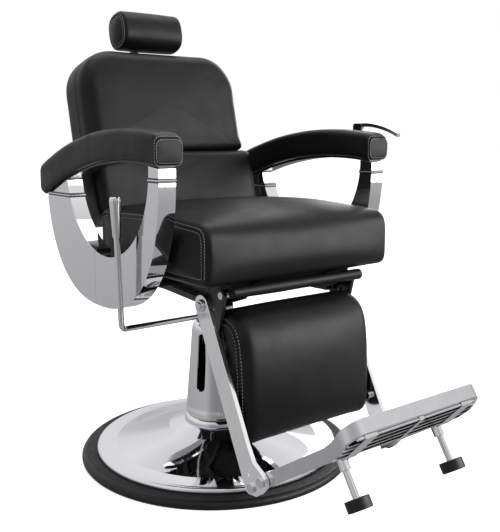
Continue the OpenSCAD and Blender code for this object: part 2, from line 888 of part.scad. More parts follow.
module footrest_frame() {
    color("#d7dadd") difference() {
        foot_frame() {
            intersection() {
                side_plate(-foot_x1 - 5, foot_x1 + 5, foot_band(-14, 14));
                foot_ring(0, foot_arm_t, -60, 80);
            }
            both_sides() along_x(foot_x1 - foot_arm_t, foot_x1, 14, 0, 0);
            both_sides() side_plate(foot_x1 - foot_arm_t, foot_x1, [[0, -14], [20, -18],
                [48, -18], [48, -9], [14, -9], [0, -2]]);
        }
        both_sides() along_x(0, 250, 7 + run, h_y, h_z);
    }
}

plate_v0 = 200;
plate_v1 = foot_len - foot_arm_t;
plate_tilt = 14;

module footplate() {
    hw = foot_x1 - foot_arm_t;
    deep = plate_v1 - plate_v0;
    color("#c9ccd0") foot_frame() difference() {
        union() {
            intersection() {
                translate([0, -plate_v1, 14]) rotate([-plate_tilt, 0, 0])
                    translate([-hw, 0, 0]) cube([2 * hw, deep, 7]);
                translate([0, 0, -60]) linear_extrude(160) polygon(concat([[hw, 30], [-hw, 30]],
                    arc([-hw + 32, -plate_v1 + 32], 32, 180, 270, 8),
                    arc([hw - 32, -plate_v1 + 32], 32, 270, 360, 8)));
            }
            intersection() {
                translate([0, -plate_v1, 14]) rotate([-plate_tilt, 0, 0]) union() {
                    for (i = [0:4]) translate([-hw, 6 + i * (deep - 12) / 4 - 2.5, -10])
                        cube([2 * hw, 5, 12]);
                    translate([-6, 0, -12]) cube([12, deep, 14]);
                    both_sides() translate([foot_leg_x - 16, 0, -12]) cube([32, deep, 14]);
                }
                translate([0, 0, -60]) linear_extrude(160) polygon(concat([[hw, 30], [-hw, 30]],
                    arc([-hw + 32, -plate_v1 + 32], 32, 180, 270, 8),
                    arc([hw - 32, -plate_v1 + 32], 32, 270, 360, 8)));
            }
        }
        translate([0, -plate_v1, 14]) rotate([-plate_tilt, 0, 0])
            for (s = [-1, 1], i = [0:3]) translate([s * 63 - 50, 11 + i * (deep - 12) / 4 - 0.5,
                -20]) cube([100, 9, 40]);
    }
}

module foot_legs() {
    color("#cfd2d5") foot_frame() both_sides() translate([foot_leg_x, -foot_leg_v, 0]) {
        translate([0, 0, -99]) cylinder(h = 97, r = 7);
        translate([0, 0, -36]) cylinder(h = 26, r = 11);
    }
}

module foot_rubbers() {
    color("#121213") foot_frame() both_sides() translate([foot_leg_x, -foot_leg_v, -111])
        difference() {
            cylinder(h = 22, r = 25);
            translate([0, 0, 12]) cylinder(h = 20, r = 7);
        }
}

module footrest_pivots() {
    color("#b9bcc0") both_sides() {
        along_x(foot_x1 - foot_arm_t - 2, bar_x1, 7, h_y, h_z);
        along_x(bar_x1, bar_x1 + 5, 11, h_y, h_z);
        along_x(foot_x1 - foot_arm_t - 5, foot_x1 - foot_arm_t - gap, 11, h_y, h_z);
    }
}

base_rubber_ring();
base_bottom_plate();
base_disc();
neck_collar();
swivel_bearing();
pump_cylinder();
pump_bolts();
pump_shroud();
shroud_bushing();
piston();
lever_head();
lever_pin();
lever_rod();
lever_grip();
mounting_plate();
mounting_bolts();
seat_frame();
frame_brackets();
seat_board();
seat_cushion();
kick_roll();
side_panel_left();
side_panel_right();
panel_covers();
armrest_plates();
armrest_left();
armrest_right();
release_bracket();
release_lever();
lock_cylinder();
lock_clamps();
lock_rod();
back_shaft();
back_cranks();
back_frame();
back_board();
back_cushion();
lumbar_cushion();
back_rear_pad();
headrest_socket();
headrest_knob();
headrest_post();
headrest_pin();
headrest_bracket();
headrest_pad();
push_rod_left();
push_rod_right();
legrest_shaft();
legrest_brackets();
leg_bar_left();
leg_bar_right();
legrest_bolts();
legrest_cross_tube();
leg_pad_board();
leg_pad();
footrest_frame();
footplate();
foot_legs();
foot_rubbers();
footrest_pivots();
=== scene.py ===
"""Hydraulic barber chair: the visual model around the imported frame, in metres."""

import json
import math

import bmesh
import bpy
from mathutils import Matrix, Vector, noise

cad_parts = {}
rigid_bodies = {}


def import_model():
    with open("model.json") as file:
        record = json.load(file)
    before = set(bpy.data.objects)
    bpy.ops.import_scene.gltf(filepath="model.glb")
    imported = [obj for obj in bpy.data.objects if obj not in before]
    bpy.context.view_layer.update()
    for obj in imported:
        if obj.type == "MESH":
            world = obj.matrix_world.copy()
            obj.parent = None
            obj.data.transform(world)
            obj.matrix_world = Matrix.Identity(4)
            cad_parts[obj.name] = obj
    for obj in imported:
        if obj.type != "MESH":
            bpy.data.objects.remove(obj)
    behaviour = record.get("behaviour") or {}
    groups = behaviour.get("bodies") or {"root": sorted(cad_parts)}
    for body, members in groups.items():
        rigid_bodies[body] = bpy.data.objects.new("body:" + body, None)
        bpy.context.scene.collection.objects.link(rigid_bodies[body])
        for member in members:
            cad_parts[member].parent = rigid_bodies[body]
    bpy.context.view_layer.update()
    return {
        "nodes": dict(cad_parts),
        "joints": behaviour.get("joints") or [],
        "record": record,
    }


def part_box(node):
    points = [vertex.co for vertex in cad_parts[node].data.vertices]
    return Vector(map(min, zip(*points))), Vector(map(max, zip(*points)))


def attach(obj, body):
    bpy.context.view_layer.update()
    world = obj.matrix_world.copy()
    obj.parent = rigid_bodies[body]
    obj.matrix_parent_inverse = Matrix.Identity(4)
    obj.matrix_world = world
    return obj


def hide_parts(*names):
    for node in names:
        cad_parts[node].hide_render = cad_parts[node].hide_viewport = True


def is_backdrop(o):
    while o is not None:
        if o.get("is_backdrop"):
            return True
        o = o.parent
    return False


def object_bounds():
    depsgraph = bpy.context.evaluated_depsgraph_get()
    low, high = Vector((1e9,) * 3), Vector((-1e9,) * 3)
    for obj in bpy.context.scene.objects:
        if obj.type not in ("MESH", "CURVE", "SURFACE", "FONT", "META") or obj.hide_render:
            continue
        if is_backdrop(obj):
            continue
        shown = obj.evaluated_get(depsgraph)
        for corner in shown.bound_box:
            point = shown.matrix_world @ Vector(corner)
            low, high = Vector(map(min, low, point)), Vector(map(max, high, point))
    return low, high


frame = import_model()
scene = bpy.context.scene
nodes = frame["nodes"]
joints = {j["name"]: j for j in frame["joints"]}
MM = 0.001
TAU = 2 * math.pi

# ---------------------------------------------------------------- camera and studio

cam_data = bpy.data.cameras.new("Camera")
camera = bpy.data.objects.new("Camera", cam_data)
scene.collection.objects.link(camera)
cam_data.sensor_width = 36
cam_data.lens = 51.24
cam_data.shift_x = 0.0041
cam_data.shift_y = 0.0009
cam_data.clip_end = 100
camera.location = (-1.0937, -1.5578, 0.8165)
camera.rotation_euler = Vector((0.6004, 0.7813, -0.1709)).to_track_quat("-Z", "Y").to_euler()
scene.camera = camera
scene.view_settings.view_transform = "Standard"
scene.view_settings.look = "None"


def area_light(name, place, target, size, power):
    """A rectangular light that faces target; size is (width, height) and power is in watts."""
    data = bpy.data.lights.new(name, "AREA")
    data.shape = "RECTANGLE"
    data.size, data.size_y = size
    data.energy = power
    light = bpy.data.objects.new(name, data)
    scene.collection.objects.link(light)
    light.location = place
    light.rotation_euler = (Vector(target) - Vector(place)).to_track_quat("-Z", "Y").to_euler()


area_light("FrontLight", (1.9, -2.7, 1.2), (0, 0, 0.6), (3.4, 1.9), 120)
area_light("TopLight", (0.3, 0.4, 3.0), (0, 0, 0.5), (2.2, 1.8), 28)
area_light("RimLight", (2.6, 1.5, 1.7), (0, 0, 0.7), (1.2, 1.8), 16)

world = bpy.data.worlds.new("Studio")
scene.world = world
world.use_nodes = True
# Brightness of the room against height, 0 straight below and 1 straight above.
ROOM_LEVELS = [(0.0, 0.42), (0.36, 0.5), (0.47, 0.66), (0.53, 0.72), (0.62, 0.95), (0.8, 1.1),
               (1.0, 0.8)]
# The room is darker towards this side, which is where the camera stands.
DARK_SIDE = (-0.45, -0.88, 0.12)
ROOM_STRENGTH = 0.9


def studio_world():
    """White for the camera; for every other ray a room that is graded in grey."""
    tree = world.node_tree
    n, link = tree.nodes, tree.links.new
    n.clear()
    out = n.new("ShaderNodeOutputWorld")
    seen = n.new("ShaderNodeBackground")
    seen.inputs["Color"].default_value = (1, 1, 1, 1)
    around = n.new("ShaderNodeBackground")
    coord = n.new("ShaderNodeTexCoord")
    split = n.new("ShaderNodeSeparateXYZ")
    link(coord.outputs["Generated"], split.inputs[0])
    height = n.new("ShaderNodeMapRange")
    height.inputs["From Min"].default_value = -1
    link(split.outputs["Z"], height.inputs["Value"])
    ramp = n.new("ShaderNodeValToRGB")
    link(height.outputs[0], ramp.inputs[0])
    while len(ramp.color_ramp.elements) < len(ROOM_LEVELS):
        ramp.color_ramp.elements.new(0.5)
    for e, (at, v) in zip(ramp.color_ramp.elements, ROOM_LEVELS):
        e.position, e.color = at, (v, v, v * 1.01, 1)
    dot = n.new("ShaderNodeVectorMath")
    dot.operation = "DOT_PRODUCT"
    link(coord.outputs["Generated"], dot.inputs[0])
    dot.inputs[1].default_value = DARK_SIDE
    dark = n.new("ShaderNodeMapRange")
    dark.interpolation_type = "SMOOTHSTEP"
    for key, v in (("From Min", 0.6), ("From Max", 0.95), ("To Min", 1.0), ("To Max", 0.55)):
        dark.inputs[key].default_value = v
    link(dot.outputs["Value"], dark.inputs["Value"])
    mix = n.new("ShaderNodeVectorMath")
    mix.operation = "SCALE"
    link(ramp.outputs[0], mix.inputs[0])
    link(dark.outputs[0], mix.inputs["Scale"])
    link(mix.outputs[0], around.inputs["Color"])
    around.inputs["Strength"].default_value = ROOM_STRENGTH
    path = n.new("ShaderNodeLightPath")
    blend = n.new("ShaderNodeMixShader")
    link(path.outputs["Is Camera Ray"], blend.inputs[0])
    link(around.outputs[0], blend.inputs[1])
    link(seen.outputs[0], blend.inputs[2])
    link(blend.outputs[0], out.inputs["Surface"])


studio_world()

# ---------------------------------------------------------------- materials


def material(name, color, rough, metallic=0.0, spread=0.04, tint=0.1, scale=30.0,
             stretch=(1, 1, 1), bumps=(), specular=0.5):
    """Principled material whose colour and roughness drift with noise; bumps are rows of
    (texture, scale, height in metres)."""
    mat = bpy.data.materials.new(name)
    mat.use_nodes = True
    n, link = mat.node_tree.nodes, mat.node_tree.links.new
    bsdf = n["Principled BSDF"]
    bsdf.inputs["Metallic"].default_value = metallic
    bsdf.inputs["Specular IOR Level"].default_value = specular
    coord = n.new("ShaderNodeTexCoord")
    place = n.new("ShaderNodeMapping")
    place.inputs["Scale"].default_value = stretch
    link(coord.outputs["Object"], place.inputs["Vector"])
    cloud = n.new("ShaderNodeTexNoise")
    cloud.inputs["Scale"].default_value = scale
    cloud.inputs["Detail"].default_value = 5
    link(place.outputs[0], cloud.inputs["Vector"])
    ramp = n.new("ShaderNodeValToRGB")
    ramp.color_ramp.elements[0].position = 0.3
    ramp.color_ramp.elements[1].position = 0.7
    ramp.color_ramp.elements[0].color = (*[c * (1 - tint) for c in color], 1)
    ramp.color_ramp.elements[1].color = (*[c * (1 + tint) for c in color], 1)
    link(cloud.outputs["Fac"], ramp.inputs[0])
    link(ramp.outputs[0], bsdf.inputs["Base Color"])
    polish = n.new("ShaderNodeTexNoise")
    polish.inputs["Scale"].default_value = scale * 2.3
    polish.inputs["Detail"].default_value = 3
    link(place.outputs[0], polish.inputs["Vector"])
    span = n.new("ShaderNodeMapRange")
    for key, v in (("From Min", 0.3), ("From Max", 0.7), ("To Min", max(0.01, rough - spread)),
                   ("To Max", rough + spread)):
        span.inputs[key].default_value = v
    link(polish.outputs["Fac"], span.inputs["Value"])
    link(span.outputs[0], bsdf.inputs["Roughness"])
    normal = None
    for kind, size, high in bumps:
        tex = n.new("ShaderNodeTexVoronoi" if kind == "cells" else "ShaderNodeTexNoise")
        tex.inputs["Scale"].default_value = size
        link(place.outputs[0], tex.inputs["Vector"])
        bump = n.new("ShaderNodeBump")
        bump.inputs["Strength"].default_value = 1.0
        bump.inputs["Distance"].default_value = high
        link(tex.outputs["Distance" if kind == "cells" else "Fac"], bump.inputs["Height"])
        if normal:
            link(normal, bump.inputs["Normal"])
        normal = bump.outputs[0]
    if normal:
        link(normal, bsdf.inputs["Normal"])
    return mat


VINYL = material("BlackVinyl", (0.0048, 0.0048, 0.0053), 0.4, spread=0.05, tint=0.2, scale=9,
                 bumps=[("noise", 14, 0.0012), ("cells", 620, 0.00016), ("noise", 900, 0.00012)],
                 specular=0.2)
THREAD = material("Thread", (0.24, 0.24, 0.25), 0.42, spread=0.08, tint=0.25, scale=700,
                  bumps=[("noise", 2500, 0.00012)])
CHROME = material("Chrome", (0.72, 0.722, 0.735), 0.045, metallic=1, spread=0.02, tint=0.02,
                  scale=5, bumps=[("noise", 5, 0.0003)])
SATIN = material("PolishedAluminium", (0.6, 0.603, 0.612), 0.09, metallic=1, spread=0.05,
                 tint=0.04, scale=26, bumps=[("noise", 40, 0.00008)])
BRUSHED = material("BrushedBar", (0.92, 0.922, 0.93), 0.16, metallic=1, spread=0.05,
                   tint=0.03, scale=30, stretch=(1, 0.7, 0.25), bumps=[("noise", 30, 0.00003)])
ZINC = material("ZincPlate", (0.66, 0.67, 0.69), 0.17, metallic=1, spread=0.06, tint=0.06,
                scale=45, bumps=[("noise", 160, 0.00004)])
RUBBER = material("Rubber", (0.005, 0.005, 0.0053), 0.42, spread=0.08, tint=0.2, scale=40,
                  bumps=[("noise", 420, 0.0001)], specular=0.3)
PAINT = material("BlackPaint", (0.006, 0.006, 0.0065), 0.3, spread=0.07, tint=0.15, scale=30,
                 bumps=[("noise", 300, 0.00008)])
PLASTIC = material("BlackPlastic", (0.02, 0.02, 0.021), 0.4, spread=0.06, tint=0.15, scale=50,
                   bumps=[("cells", 900, 0.00006)])
NYLON = material("Nylon", (0.75, 0.74, 0.69), 0.45, spread=0.05, tint=0.05, scale=30,
                 bumps=[("noise", 300, 0.00004)])
BRASS = material("Brass", (0.72, 0.52, 0.24), 0.22, metallic=1, spread=0.06, tint=0.08,
                 scale=30, bumps=[("noise", 200, 0.00003)])
CAST = material("CastIron", (0.05, 0.05, 0.053), 0.62, spread=0.1, tint=0.2, scale=60,
                bumps=[("noise", 300, 0.0003)])
PLY = material("StainedPlywood", (0.012, 0.0115, 0.011), 0.6, spread=0.08, tint=0.25, scale=16,
               stretch=(1, 6, 6), bumps=[("noise", 120, 0.0001)])
SLOTS = {"rubber": RUBBER, "cast_base": CAST, "chrome": CHROME, "brass": BRASS,
         "dark_steel": ZINC, "zinc_steel": ZINC, "black_paint": PAINT, "white_plastic": NYLON,
         "plywood": PLY, "vinyl": VINYL, "black_plastic": PLASTIC, "aluminium": SATIN}
node_slot = {s["node"]: s["material_slot"] for s in frame["record"]["subparts"]}
for name, ob in nodes.items():
    ob.data.materials.clear()
    ob.data.materials.append(SLOTS[node_slot[name]])

# ---------------------------------------------------------------- mesh helpers


def body_of(node):
    """The body that a CAD node belongs to."""
    return next(b for b, names in frame["record"]["behaviour"]["bodies"].items()
                if node in names)


def piece(name, verts, faces, mat, body, replaced=()):
    """A new smooth mesh that rides a body and may replace CAD nodes."""
    mesh = bpy.data.meshes.new(name)
    mesh.from_pydata([tuple(v) for v in verts], [], faces)
    mesh.validate()
    ob = bpy.data.objects.new(name, mesh)
    scene.collection.objects.link(ob)
    mesh.materials.append(mat)
    mesh.shade_smooth()
    bm = bmesh.new()
    bm.from_mesh(mesh)
    bmesh.ops.recalc_face_normals(bm, faces=bm.faces)
    bm.to_mesh(mesh)
    bm.free()
    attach(ob, body)
    if replaced:
        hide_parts(*replaced)
    return ob


def select_only(ob):
    for o in bpy.context.selected_objects:
        o.select_set(False)
    ob.select_set(True)
    bpy.context.view_layer.objects.active = ob


def round_edges(ob, width, angle=32, segments=3):
    """Rounds the sharp edges and shades the rest smooth."""
    bevel = ob.modifiers.new("Round", "BEVEL")
    bevel.width = width
    bevel.segments = segments
    bevel.limit_method = "ANGLE"
    bevel.angle_limit = math.radians(angle)
    bevel.harden_normals = True
    select_only(ob)
    bpy.ops.object.shade_smooth_by_angle(angle=math.radians(angle + 4))


def rounded_copy(node, name, width, mat=None, segments=3):
    """A CAD node again, with its flats joined and its edges rounded."""
    bm = bmesh.new()
    bm.from_mesh(nodes[node].data)
    bmesh.ops.remove_doubles(bm, verts=bm.verts, dist=1e-5)
    bmesh.ops.dissolve_limit(bm, angle_limit=math.radians(0.5), verts=bm.verts, edges=bm.edges)
    mesh = bpy.data.meshes.new(name)
    bm.to_mesh(mesh)
    bm.free()
    ob = bpy.data.objects.new(name, mesh)
    scene.collection.objects.link(ob)
    mesh.materials.clear()
    mesh.materials.append(mat or SLOTS[node_slot[node]])
    round_edges(ob, width, segments=segments)
    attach(ob, body_of(node))
    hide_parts(node)
    return ob


def lathe(name, profile, mat, body, replaced, around=160):
    """Turns a closed line of (radius, height) points about the chair's axis."""
    count = len(profile)
    verts = [(r * math.cos(TAU * k / around), r * math.sin(TAU * k / around), z)
             for k in range(around) for r, z in profile]
    faces = [(k * count + i, ((k + 1) % around) * count + i,
              ((k + 1) % around) * count + (i + 1) % count, k * count + (i + 1) % count)
             for k in range(around) for i in range(count)]
    return piece(name, verts, faces, mat, body, replaced)


def resample(loop, spacing, closed=True):
    """Points at an even spacing along a line of vectors."""
    pts = list(loop) + ([loop[0]] if closed else [])
    lengths = [(b - a).length for a, b in zip(pts, pts[1:])]
    total = sum(lengths)
    count = max(4, round(total / spacing))
    out, i, start = [], 0, 0.0
    for k in range(count if closed else count + 1):
        want = total * k / count
        while i < len(lengths) - 1 and start + lengths[i] < want:
            start += lengths[i]
            i += 1
        f = (want - start) / max(lengths[i], 1e-12)
        out.append(pts[i].lerp(pts[i + 1], min(1.0, f)))
    return out


def soften(loop, times=3):
    """Rounds a closed loop's small corners."""
    for _ in range(times):
        loop = [(loop[i - 1] + loop[i] * 2 + loop[(i + 1) % len(loop)]) / 4
                for i in range(len(loop))]
    return loop


def inset(loop, dist):
    """A closed counter-clockwise loop moved inwards."""
    out = []
    for i, p in enumerate(loop):
        t = (loop[(i + 1) % len(loop)] - loop[i - 1]).normalized()
        out.append(p + Vector((-t.y, t.x)) * dist)
    return out


def side_outline(node, spacing=0.007, times=3):
    """The outline, in the YZ plane, of a CAD node that is straight along X, turned
    counter-clockwise, with its corners softened."""
    lo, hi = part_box(node)
    pts = [v.co for v in nodes[node].data.vertices if v.co.x > hi.x - 1e-4]
    pts = [Vector((p.y, p.z)) for p in pts]
    mid = sum(pts, Vector((0, 0))) / len(pts)
    pts.sort(key=lambda p: math.atan2(p.y - mid.y, p.x - mid.x))
    return soften(resample(pts, spacing), times)


class Shell:
    """A closed surface made of rings that all have the same number of points."""

    def __init__(self):
        self.verts, self.rings = [], []

    def ring(self, points):
        self.rings.append(range(len(self.verts), len(self.verts) + len(points)))
        self.verts += [Vector(p) for p in points]
        return len(self.rings) - 1

    def faces(self):
        out = []
        for a, b in zip(self.rings, self.rings[1:]):
            n = len(a)
            out += [(a[i], a[(i + 1) % n], b[(i + 1) % n], b[i]) for i in range(n)]
        for end, flip in ((self.rings[0], True), (self.rings[-1], False)):
            mid = len(self.verts)
            self.verts.append(sum((self.verts[i] for i in end), Vector()) / len(end))
            n = len(end)
            out += [(end[i], mid, end[(i + 1) % n]) if flip else (end[i], end[(i + 1) % n], mid)
                    for i in range(n)]
        return out


CLOTH_PRESSURE = 4.0
CLOTH_FRAMES = 20
CLOTH_SMOOTHING = 6     # rounds of averaging over neighbours, which takes out the wrinkles
CLOTH_SHARE = 0.35      # share of the simulated movement that is used


def inflate(ob, pinned, cap):
    """Cloth simulation of the cover under pressure, held at its seams. Each point's movement
    is cut to cap, averaged with its neighbours' and then used in part only."""
    group = ob.vertex_groups.new(name="held")
    group.add(sorted(pinned), 1.0, "REPLACE")
    cloth = ob.modifiers.new("Cloth", "CLOTH")
    s = cloth.settings
    s.quality = 4
    s.mass = 0.3
    s.tension_stiffness = s.compression_stiffness = 18
    s.shear_stiffness = 6
    s.bending_stiffness = 1.2
    s.use_pressure = True
    s.uniform_pressure_force = CLOTH_PRESSURE
    s.vertex_group_mass = group.name
    s.effector_weights.gravity = 0
    cloth.collision_settings.use_collision = False
    cloth.point_cache.frame_end = CLOTH_FRAMES
    for f in range(1, CLOTH_FRAMES + 1):
        scene.frame_set(f)
    shaped = ob.evaluated_get(bpy.context.evaluated_depsgraph_get())
    swollen = [v.co.copy() for v in shaped.data.vertices]
    ob.modifiers.remove(cloth)
    moves = [new - v.co for v, new in zip(ob.data.vertices, swollen)]
    moves = [m * (cap / m.length) if m.length > cap else m for m in moves]
    near = [[] for _ in moves]
    for e in ob.data.edges:
        near[e.vertices[0]].append(e.vertices[1])
        near[e.vertices[1]].append(e.vertices[0])
    for _ in range(CLOTH_SMOOTHING):
        moves = [(m + sum((moves[j] for j in near[i]), Vector())) / (1 + len(near[i]))
                 if i not in pinned else m * 0 for i, m in enumerate(moves)]
    for v, m in zip(ob.data.vertices, moves):
        v.co += m * CLOTH_SHARE
    scene.frame_set(1)
    ob.vertex_groups.clear()


UNEVEN_HEIGHT, UNEVEN_SCALE = 0.0007, 11


def finish_soft(ob):
    """One subdivision, and a faint unevenness of the foam under the cover."""
    ob.data.update()
    normals = [v.normal.copy() for v in ob.data.vertices]
    for v, nor in zip(ob.data.vertices, normals):
        v.co += nor * UNEVEN_HEIGHT * noise.noise(v.co * UNEVEN_SCALE)
    sub = ob.modifiers.new("Subdivision", "SUBSURF")
    sub.levels = sub.render_levels = 1
    return ob


# Rings of one stitch: how far along its length each stands, and its share of the radius.
BEAD = ((-0.5, 0.25), (-0.3, 0.95), (0.3, 0.95), (0.5, 0.25))
BEAD_SIDES = 6
BEAD_LIFT = 0.45        # height of a stitch's middle above the cover, in radii


def stitches(name, lines, body, pitch=0.0062, length=0.0044, radius=0.0008):
    """Thread along lines of (point, normal); one short raised bead for each stitch."""
    verts, faces = [], []
    for line in lines:
        pts = [p for p, _ in line]
        run = resample(pts, pitch, closed=False)
        idx = 0
        for a, b in zip(run, run[1:]):
            while idx < len(pts) - 1 and (pts[idx] - a).length > (pts[idx + 1] - a).length:
                idx += 1
            nor = line[idx][1]
            along = (b - a).normalized()
            side = along.cross(nor).normalized()
            base = len(verts)
            mid = (a + b) / 2
            for s, w in BEAD:
                for k in range(BEAD_SIDES):
                    ang = TAU * k / BEAD_SIDES
                    out = side * math.cos(ang) + nor * math.sin(ang)
                    verts.append(mid + along * (s * length) + out * (radius * w)
                                 + nor * radius * BEAD_LIFT)
            for low in range(base, base + (len(BEAD) - 1) * BEAD_SIDES, BEAD_SIDES):
                high = low + BEAD_SIDES
                faces += [(low + k, low + (k + 1) % BEAD_SIDES, high + (k + 1) % BEAD_SIDES,
                           high + k) for k in range(BEAD_SIDES)]
            last = base + (len(BEAD) - 1) * BEAD_SIDES
            faces += [tuple(base + k for k in range(BEAD_SIDES - 1, -1, -1)),
                      tuple(last + k for k in range(BEAD_SIDES))]
    return piece(name, verts, faces, THREAD, body)


def ring_line(ob, ring, keep=lambda p: True):
    """A ring of a cushion as one or more lines of (point, normal), where keep allows it."""
    ob.data.update()
    lines, now = [], []
    for i in list(ring) + [ring[0]]:
        v = ob.data.vertices[i]
        if keep(v.co):
            now.append((v.co.copy(), v.normal.copy()))
        else:
            if len(now) > 3:
                lines.append(now)
            now = []
    if len(now) > 3:
        lines.append(now)
    return lines


# ---------------------------------------------------------------- cushions boxed at two sides


def boxed(name, node, body, edge=0.014, drop=0.006, bulge=0.006, spacing=0.0075,
          outline=None, half=None, hold=lambda p: False, cap=0.008, stitch=lambda p: True,
          smooth=3, pitch=0.0062, dome=0, swell=0.0):
    """A cushion whose top panel wraps round an outline and meets two side panels in a seam
    with a row of stitches on either side. edge is the rounding of the top panel, drop how far
    it sinks towards the sides, bulge how far a side panel swells, dome and swell how much the
    middle of the outline is softened and grown. hold and stitch pick points by place."""
    loop = outline or side_outline(node, spacing, smooth)
    lo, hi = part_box(node)
    half = half or hi.x
    mid = sum(loop, Vector((0, 0))) / len(loop)
    shell = Shell()
    groove, step = 0.0028, 0.0045
    lip = 0.0006        # the side panel stands this far proud beside the seam
    side_steps = 7
    side = []
    for k in range(1, side_steps + 1):
        f = 1 - k / side_steps
        side.append((half + bulge * math.sin(math.pi / 2 * (1 - f) ** 0.7), f))
    panel = [(half - edge * (1 - math.cos(a)), edge * (1 - math.sin(a)))
             for a in [math.radians(v) for v in (18, 36, 54, 72, 90)]]
    across = max(8, round(2 * (half - edge) / spacing))

    def belly(x):
        return drop * (abs(x) / half) ** 2.6

    domed = inset(soften(loop, dome), -swell) if dome else loop

    def outline_ring(x, dist):
        f = 1 - (abs(x) / half) ** 2.2
        return [(x, p.x, p.y) for p in inset([a.lerp(b, f) for a, b in zip(loop, domed)],
                                             dist + belly(x))]

    def side_ring(sign, x, f, dist):
        base = inset(loop, dist + belly(half))
        return [(sign * x, mid.x + (p.x - mid.x) * f, mid.y + (p.y - mid.y) * f) for p in base]

    marks = {}
    for k in range(side_steps - 2, -1, -1):
        shell.ring(side_ring(-1, side[k][0], side[k][1], edge + step))
    marks["side-"] = shell.ring(side_ring(-1, half + lip, 1, edge + step))
    marks["seam-"] = shell.ring(side_ring(-1, half - groove, 1, edge))
    for x, dist in panel:
        shell.ring(outline_ring(-x, dist))
    marks["panel-"] = marks["seam-"] + 1
    for k in range(1, across):
        shell.ring(outline_ring(-(half - edge) + 2 * (half - edge) * k / across, 0))
    for x, dist in reversed(panel):
        marks["panel+"] = shell.ring(outline_ring(x, dist))
    marks["seam+"] = shell.ring(side_ring(1, half - groove, 1, edge))
    marks["side+"] = shell.ring(side_ring(1, half + lip, 1, edge + step))
    for k in range(0, side_steps - 1):
        shell.ring(side_ring(1, side[k][0], side[k][1], edge + step))
    faces = shell.faces()
    ob = piece(name, shell.verts, faces, VINYL, body, [node])
    pinned = {i for m in ("seam-", "seam+") for i in shell.rings[marks[m]]}
    pinned |= {v.index for v in ob.data.vertices if hold(v.co)}
    inflate(ob, pinned, cap)
    lines = []
    for m in ("side-", "side+", "panel-", "panel+"):
        lines += ring_line(ob, shell.rings[marks[m]], stitch)
    finish_soft(ob)
    if lines:
        stitches(name + "Stitching", lines, body, pitch)
    return ob


seat_lo, seat_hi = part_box("seat_cushion")
boxed("SitCushion", "seat_cushion", "seat", edge=0.014, drop=0.004, bulge=0.012,
      hold=lambda p: p.z < seat_lo.z + 0.014 or p.y > seat_hi.y - 0.02,
      stitch=lambda p: p.z > seat_lo.z + 0.02, cap=0.008, smooth=4, dome=46, swell=0.006,
      half=seat_hi.x + 0.002)
leg_lo, leg_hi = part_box("leg_pad")
# The pad's outline seen from the side: (y, z) in millimetres, from its foot up over its top.
leg_side = [Vector(p) * MM for p in ((-330, 169), (-362, 171), (-370, 188), (-371, 240),
            (-367, 340), (-358, 398), (-344, 427), (-324, 441), (-302, 448), (-278, 448),
            (-260, 441), (-252, 424))]
leg_side = soften(resample(leg_side[::-1], 0.007), 6)
boxed("LegPad", "leg_pad", "legrest", edge=0.026, drop=-0.004, bulge=0.0,
      hold=lambda p: p.y > leg_lo.y + 0.07, outline=leg_side, cap=0.006,
      half=leg_hi.x + 0.001, pitch=0.0075, dome=24, swell=0.011)
boxed("HeadrestPad", "headrest_pad", "headrest", edge=0.009, drop=-0.002, bulge=0.009,
      spacing=0.006, cap=0.004, smooth=14, dome=10, swell=0.005,
      half=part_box("headrest_pad")[1].x)
boxed("KickRoll", "kick_roll", "seat", edge=0.004, drop=0.0005, bulge=0.002, spacing=0.005,
      cap=0.001, smooth=1, stitch=lambda p: False, half=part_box("kick_roll")[1].x)

# ---------------------------------------------------------------- back, lumbar and rear pads

UP = Vector(joints["headrest_height"]["axis"]).normalized()
REAR = Vector((0, UP.z, -UP.y))
CREASE = Vector((0, 0.185, 0.775))


def span(node, axis):
    """How far a CAD node reaches along an axis through the crease."""
    values = [(v.co - CREASE).dot(axis) for v in nodes[node].data.vertices]
    return min(values), max(values)


def upright_outline(half, low, high, top_r, low_r, spacing=0.0075):
    """Rounded outline in (across, up) coordinates, counter-clockwise."""
    loop = []
    for cx, cy, r, start in ((half - low_r, low + low_r, low_r, 270),
                             (half - top_r, high - top_r, top_r, 0),
                             (-half + top_r, high - top_r, top_r, 90),
                             (-half + low_r, low + low_r, low_r, 180)):
        loop += [Vector((cx + r * math.cos(math.radians(start + 6 * k)),
                         cy + r * math.sin(math.radians(start + 6 * k)))) for k in range(16)]
    return soften(resample(loop, spacing), 2)


